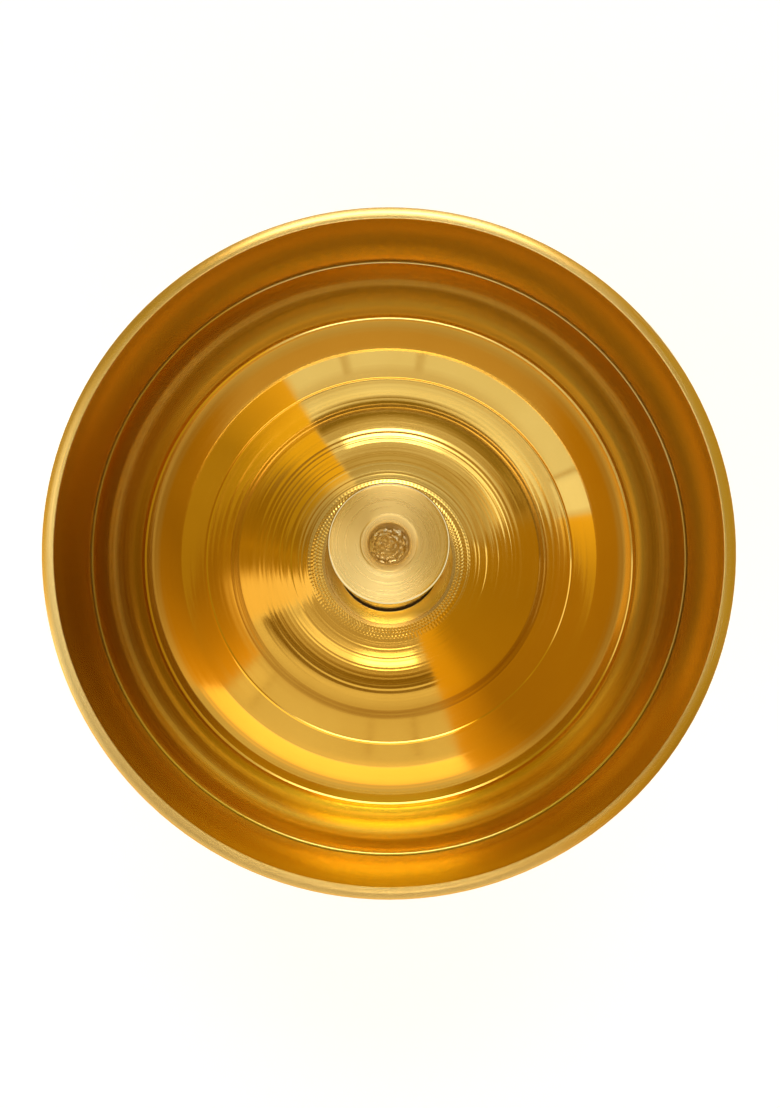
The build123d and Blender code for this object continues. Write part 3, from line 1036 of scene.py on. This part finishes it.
# %% Spin the foot
FOOT_RADIUS = reach("foot")
FOOT_TOP = high("foot")
FOOT_EDGE_HEIGHT = 3.0
FOOT_LEDGE = FOOT_RADIUS - 1.0
FOOT_HOLLOW = FOOT_RADIUS - 2.5
FOOT_RING_HEIGHT = 0.8
FOOT_DISC = 11.0
FOOT_DISC_Z = FOOT_TOP - 1.2
BELL_HOLLOW = 2.0
PLATE_Z = high("foot_washer")
PLATE_ROOM = reach("foot_washer") + 1.0
foot = spin(
    "foot_turned",
    "base",
    [
        piece_of(run((BORE, FOOT_TOP), (FOOT_DISC, FOOT_TOP))),
        piece_of(run((FOOT_DISC, FOOT_TOP), (FOOT_DISC, FOOT_DISC_Z), step=0.4)),
        piece_of(bow((FOOT_DISC, FOOT_DISC_Z), (FOOT_LEDGE, FOOT_EDGE_HEIGHT), -BELL_HOLLOW, 0.25), 0, 0.15),
        piece_of(run((FOOT_LEDGE, FOOT_EDGE_HEIGHT), (FOOT_RADIUS, FOOT_EDGE_HEIGHT), step=0.5)),
        piece_of(run((FOOT_RADIUS, FOOT_EDGE_HEIGHT), (FOOT_RADIUS, 0), step=0.6)),
        piece_of(run((FOOT_RADIUS, 0), (FOOT_HOLLOW, 0), step=0.6), 1),
        piece_of(run((FOOT_HOLLOW, 0), (FOOT_HOLLOW, FOOT_RING_HEIGHT), step=0.4), 1),
        piece_of(bow((FOOT_HOLLOW, FOOT_RING_HEIGHT), (PLATE_ROOM, PLATE_Z), BELL_HOLLOW, 0.25), 1, 0.8),
        piece_of(run((PLATE_ROOM, PLATE_Z), (BORE, PLATE_Z)), 1),
        piece_of(run((BORE, PLATE_Z), (BORE, FOOT_TOP)), 1),
    ],
    (polished, faced, faced),
    segments=128,
    ease=0.2,
    seed=37.0,
    mark_depth=0.005,
)
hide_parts("foot")

# %% [markdown]
# ## Rod, washer and nut
#
# An M8 rod runs from the nut under the foot up into the neck of the cup. The lathe tree cuts its thread
# as a V that climbs one pitch a turn, and it cuts the nut's six flats by holding the radius under the
# distance to the nearest flat. The round chamfers of the nut come from its profile.

# %% Spin the rod
ROD_LOW, ROD_TOP = low("tie_rod"), high("tie_rod")
ROD_CHAMFER = 0.5
tip = ROD_RADIUS - ROD_CHAMFER
high_end = ROD_TOP - ROD_CHAMFER
low_end = ROD_LOW + ROD_CHAMFER
rod = spin(
    "tie_rod_threaded",
    "base",
    [
        piece_of(run((0, ROD_TOP), (tip, ROD_TOP))),
        piece_of(run((tip, ROD_TOP), (ROD_RADIUS, high_end), step=0.18), 0, 0.0, 0.3),
        piece_of(run((ROD_RADIUS, high_end), (ROD_RADIUS, low_end), step=0.156), 0, 0.0, 1.0),
        piece_of(run((ROD_RADIUS, low_end), (tip, ROD_LOW), step=0.18), 0, 0.0, 0.3),
        piece_of(run((tip, ROD_LOW), (0, ROD_LOW)), 1),
    ],
    (threaded, milled, milled),
    segments=64,
    ease=0.05,
    thread_pitch=1.25,
    thread_depth=0.6,
)
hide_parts("tie_rod")

# %% [markdown]
# ### Washer and nut
#
# Both are bought parts with an even satin. The washer is a plain ring. The nut is spun as a round bar with
# two cones at its ends, and the lathe tree then cuts six flats into it, which leaves the curved edges
# that a real nut has where a flat meets a cone.

# %% Spin the washer and the nut
WASHER_LOW = low("foot_washer")
WASHER_RADIUS = reach("foot_washer")
washer = spin(
    "foot_washer_milled",
    "base",
    [
        piece_of(run((BORE, PLATE_Z), (WASHER_RADIUS, PLATE_Z))),
        piece_of(run((WASHER_RADIUS, PLATE_Z), (WASHER_RADIUS, WASHER_LOW), step=0.6)),
        piece_of(run((WASHER_RADIUS, WASHER_LOW), (BORE, WASHER_LOW)), 0, 0.4),
        piece_of(run((BORE, WASHER_LOW), (BORE, PLATE_Z), step=0.6)),
    ],
    (milled, milled, milled),
    ease=0.15,
    seed=41.0,
    mark_depth=0.006,
)
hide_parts("foot_washer")

ACROSS_FLATS = 13.0
NUT_LOW, NUT_TOP = low("foot_nut"), high("foot_nut")
corner = reach("foot_nut")
NUT_FACE = 0.96
NUT_CONE = math.radians(30)
NUT_SINK = 0.35
face = NUT_FACE * ACROSS_FLATS / 2
drop = (corner - face) * math.tan(NUT_CONE)
nut_mouth = ROD_HOLE + NUT_SINK
nut = spin(
    "foot_nut_milled",
    "base",
    [
        piece_of(run((nut_mouth, NUT_TOP), (face, NUT_TOP))),
        piece_of(run((face, NUT_TOP), (corner, NUT_TOP - drop), step=0.25), 0, 0.0, 0.0, 1.0),
        piece_of(run((corner, NUT_TOP - drop), (corner, NUT_LOW + drop), step=0.3), 0, 0.0, 0.0, 1.0),
        piece_of(run((corner, NUT_LOW + drop), (face, NUT_LOW), step=0.25), 0, 0.0, 0.0, 1.0),
        piece_of(run((face, NUT_LOW), (nut_mouth, NUT_LOW))),
        piece_of(run((nut_mouth, NUT_LOW), (ROD_HOLE, NUT_LOW + NUT_SINK), step=0.2), 1),
        piece_of(run((ROD_HOLE, NUT_LOW + NUT_SINK), (ROD_HOLE, NUT_TOP - NUT_SINK), step=0.3), 1),
        piece_of(run((ROD_HOLE, NUT_TOP - NUT_SINK), (nut_mouth, NUT_TOP), step=0.2), 1),
    ],
    (milled, threaded, threaded),
    segments=144,
    ease=0.05,
    flats=ACROSS_FLATS,
)
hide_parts("foot_nut")

# %% [markdown]
# ## Light and floor
#
# Polished brass shows its surroundings more than itself. The cup in the photograph shows two pale wedges,
# and gold where the metal reflects itself, as it would in a small white tent that is open at two sides,
# with lamps near the camera. The world here is such a tent: its brightness depends on the angle from
# straight up and on the direction round the lamp. Near the horizon it is plain white, which is also the
# background. The floor is white paper that keeps the lamp's shadow.

# %% The tent
world = bpy.data.worlds.new("tent")
scene.world = world
world.use_nodes = True
sky = world.node_tree
sky.nodes.clear()
direction = add(sky, "ShaderNodeTexCoord").outputs["Generated"]
axes = add(sky, "ShaderNodeSeparateXYZ", {0: direction}).outputs
zenith = add(sky, "ShaderNodeMath", {0: axes[2]}, operation="ARCCOSINE")
zenith = add(sky, "ShaderNodeMath", {0: zenith, 1: math.pi}, operation="DIVIDE")
# Bearings run clockwise, seen from above, from a dull corner behind the lamp on the left.
BEARING_START = 120
bearing = add(sky, "ShaderNodeMath", {0: axes[1], 1: axes[0]}, operation="ARCTAN2")
bearing = add(
    sky,
    "ShaderNodeMath",
    {0: bearing, 1: -0.5 / math.pi, 2: BEARING_START / 360},
    operation="MULTIPLY_ADD",
)
bearing = add(sky, "ShaderNodeMath", {0: bearing}, operation="FRACT")


def table(amount, span, stops):
    """A ramp through pairs of degrees and values, for an amount that is 1 at the whole span."""
    node = add(sky, "ShaderNodeValToRGB", {0: amount})
    ramp = node.color_ramp
    for number, (degrees, value) in enumerate(stops):
        element = ramp.elements[number] if number < 2 else ramp.elements.new(1.0)
        element.position = degrees / span
        element.color = (value, value, value, 1.0)
    return node


def by_zenith(*stops):
    """Brightness by degrees from straight up."""
    return table(zenith, 180, stops)


def by_bearing(*stops):
    """Brightness by bearing in degrees."""
    return table(bearing, 360, stops)


def blend(share, first, second):
    """A plain number between two others."""
    return add(sky, "ShaderNodeMix", {0: share, 2: first, 3: second}, data_type="FLOAT").outputs[0]


print(f"tent: bearing 0 lies {BEARING_START} degrees round from the lamp's right side")

# %% [markdown]
# ### Cloth, openings and lamps
#
# Area lamps would light the cup just as well, but a mirror shows a lamp as a hard white shape. Here the
# tent is painted by a few ramps instead: the bright cloth in front with its folds, the duller cloth at
# the sides, and three lamps as narrow patches. A ramp is a list of degrees and brightness, so it is easy
# to read where a patch starts and ends.

# %% Paint the cloth
# A level of 1 is white paper, and the lamps are a few times as bright.
HORIZON_LEVEL = 0.95
front = by_zenith(
    (0, 0.5), (8, 0.7), (9, 0.45), (10, 0.7), (11, 0.4), (12, 0.7), (13, 0.4), (14, 0.7), (15, 0.45),
    (16, 0.85), (17, 0.55), (18, 1.0), (20.5, 1.0), (21.2, 0.75), (22, 0.5), (22.8, 0.75), (23.6, 0.45),
    (24.4, 0.25), (27.8, 0.25), (28.3, 1.15), (30, 0.9), (31.8, 0.72), (33.4, 0.75), (34.2, 0.86),
    (43, 0.86), (44.4, 2.0), (58, 1.8), (64, 0.8), (70, 0.7), (180, 0.7),
)
folds = by_bearing(
    (0, 1), (194.5, 1), (196, 0.65), (197.5, 1), (218.5, 1), (220, 0.7), (221.5, 1), (278.5, 1), (280, 0.7),
    (281.5, 1.15), (292, 1.15), (293, 0.7), (294, 1), (360, 1),
)
upper_sides = by_bearing(
    (0, 0.32), (24, 0.42), (44, 0.5), (63, 0.45), (100, 0.42), (140, 0.48), (152, 0.6), (162, 0.85),
    (180, 1.0), (309, 1.25), (330, 1.25), (336, 0.48), (343, 0.44), (346, 0.55), (349, 0.4), (360, 0.32),
)
lower_sides = by_bearing(
    (0, 0.4), (8, 0.5), (14, 0.64), (44, 0.64), (54, 0.53), (62, 0.51), (80, 0.47), (110, 0.43), (150, 0.43),
    (166, 0.7), (180, 0.95), (294, 0.95), (312, 0.6), (330, 0.42), (345, 0.35), (360, 0.4),
)
upper_opening = by_bearing(
    (0, 0), (45, 0), (47, 1), (61, 1), (63, 0), (176, 0), (177.5, 1), (308, 1), (309.5, 0), (360, 0)
)
lower_opening = by_bearing((0, 0), (176, 0), (177.5, 1), (292, 1), (293.5, 0), (360, 0))
lowness = by_zenith((0, 0), (30, 0), (34, 1), (180, 1))
opening = blend(lowness, upper_opening, lower_opening)
folded = blend(by_zenith((0, 0), (33, 0), (34, 1), (41, 1), (42, 0), (180, 0)), 1.0, folds)
front = add(sky, "ShaderNodeMath", {0: front, 1: folded}, operation="MULTIPLY")
sides = blend(lowness, upper_sides, lower_sides)
tent = blend(opening, sides, front)
print("cloth:", len(sky.nodes), "nodes so far")

# %% [markdown]
# ### Lamps in the tent
#
# Each lamp is a patch of the tent: one ramp gives its brightness round the lamp, another its height, and
# their product is added to the cloth. The patches are narrow, so they show as the thin bright rings and
# the fan of light on the pillar's top.

# %% Hang the lamps
LAMPS = (
    # The lamp over the front edge of the camera, and its height.
    (
        by_bearing((0, 0), (184, 0), (188, 5.5), (226, 5.5), (244, 0.9), (300, 0.3), (301, 0), (360, 0)),
        by_zenith((0, 0), (17.8, 0), (18.5, 1), (19.8, 1), (20.5, 0), (180, 0)),
    ),
    # The lamp close beside the lens, which the pillar's top catches.
    (
        by_bearing(
            (0, 0), (140, 0), (160, 0.5), (190, 2.4), (200, 5.5), (228, 5.5), (245, 2.0), (300, 1.2),
            (322, 1.2), (330, 0), (360, 0),
        ),
        by_zenith((0, 0), (1.5, 0.5), (3, 1), (5.8, 1), (6.8, 0), (180, 0)),
    ),
    # The lamp behind, which the rim catches.
    (
        by_bearing((0, 0), (4, 0), (12, 4.5), (46, 4.5), (58, 0), (360, 0)),
        by_zenith((0, 0), (27, 0), (30, 1), (37, 1), (39.5, 0), (180, 0)),
    ),
)
level = tent
for width, height in LAMPS:
    level = add(sky, "ShaderNodeMath", {0: width, 1: height, 2: level}, operation="MULTIPLY_ADD")
print("lamps:", len(LAMPS))

# %% [markdown]
# ### Warm light
#
# Brass beside brass glows, because each reflection takes out more blue. The room does the same to the cloth
# that the lamps don't reach, so the tent turns gold there, and stays white in its bright openings. One
# gold serves the upper part of the tent and a second one the lower part.

# %% Colour the tent
SHADE_FROM, SHADE_TO, SHADE_GOLD = 0.3, 0.85, 0.9
# Where little light falls, the cloth shows the warm room.
shade = add(sky, "ShaderNodeMapRange", {0: level, 1: SHADE_FROM, 2: SHADE_TO, 3: SHADE_GOLD, 4: 0.0})
level = blend(by_zenith((0, 0), (66, 0), (76, 1), (180, 1)), level, HORIZON_LEVEL)
upper_gold = by_bearing(
    (0, 1), (6, 1), (14, 0.15), (61, 0.15), (66, 1), (176, 1), (178, 0), (308, 0), (312, 0.4), (330, 0.4),
    (336, 1), (360, 1),
)
lower_gold = by_bearing(
    (0, 1), (6, 1), (14, 0.3), (44, 0.3), (54, 1), (176, 1), (178, 0), (292, 0), (294, 1), (360, 1)
)
glare_gold = by_zenith((0, 0), (43.5, 0), (45, 0.55), (60, 0.55), (68, 0), (180, 0))
gold_height = by_zenith((0, 0), (9, 0.3), (12, 1), (60, 1), (74, 0), (180, 0))
gold_width = blend(lowness, upper_gold, lower_gold)
gold_width = add(sky, "ShaderNodeMath", {0: gold_width, 1: shade}, operation="MAXIMUM")
gold_width = add(sky, "ShaderNodeMath", {0: gold_width, 1: glare_gold}, operation="MAXIMUM")
gold_share = add(sky, "ShaderNodeMath", {0: gold_width, 1: gold_height}, operation="MULTIPLY")
gold = add(
    sky, "ShaderNodeMix", {0: lowness, 6: hex_linear("FFD43C"), 7: hex_linear("FFCE40")}, data_type="RGBA"
)
hue = add(
    sky, "ShaderNodeMix", {0: gold_share, 6: hex_linear("FFFFFF"), 7: gold.outputs[2]}, data_type="RGBA"
)
glow = add(sky, "ShaderNodeBackground", {"Color": hue.outputs[2], "Strength": level})
add(sky, "ShaderNodeOutputWorld", {0: glow})
print("tent:", len(sky.nodes), "nodes")

# %% [markdown]
# ### The floor
#
# The lamp stands on white paper. The paper keeps the soft shadow, and a little light of its own, which only
# the camera and mirrors see, brings it to white without putting more light on the lamp.

# %% Lay the paper
HALF_FLOOR = 3.0
FLOOR_Z = -0.0001
PAPER_LIFT = 0.55
floor_mesh = bpy.data.meshes.new("floor")
quarters = ((-1, -1), (1, -1), (1, 1), (-1, 1))
floor_corners = [(x * HALF_FLOOR, y * HALF_FLOOR, FLOOR_Z) for x, y in quarters]
floor_mesh.from_pydata(floor_corners, [], [(0, 1, 2, 3)])
floor = bpy.data.objects.new("floor", floor_mesh)
scene.collection.objects.link(floor)
paper = bpy.data.materials.new("white_paper")
paper.use_nodes = True
tree = paper.node_tree
tree.nodes.clear()
light_path = add(tree, "ShaderNodeLightPath").outputs
seen = {0: light_path["Is Camera Ray"], 1: light_path["Is Glossy Ray"]}
seen = add(tree, "ShaderNodeMath", seen, operation="MAXIMUM")
seen = add(tree, "ShaderNodeMath", {0: seen, 1: light_path["Is Transmission Ray"]}, operation="MAXIMUM")
lift = add(tree, "ShaderNodeMath", {0: seen, 1: PAPER_LIFT}, operation="MULTIPLY")
white = add(tree, "ShaderNodeBsdfDiffuse", {"Color": hex_linear("E6EBF8")})
shine = add(tree, "ShaderNodeEmission", {"Strength": lift})
both = add(tree, "ShaderNodeAddShader", {0: white, 1: shine})
add(tree, "ShaderNodeOutputMaterial", {0: both})
floor_mesh.materials.append(paper)
print(f"paper: {2 * HALF_FLOOR:.0f} m wide")

# %% [markdown]
# ## Finish
#
# The view transform stays plain.

# %% Finish
scene.view_settings.view_transform = "Standard"
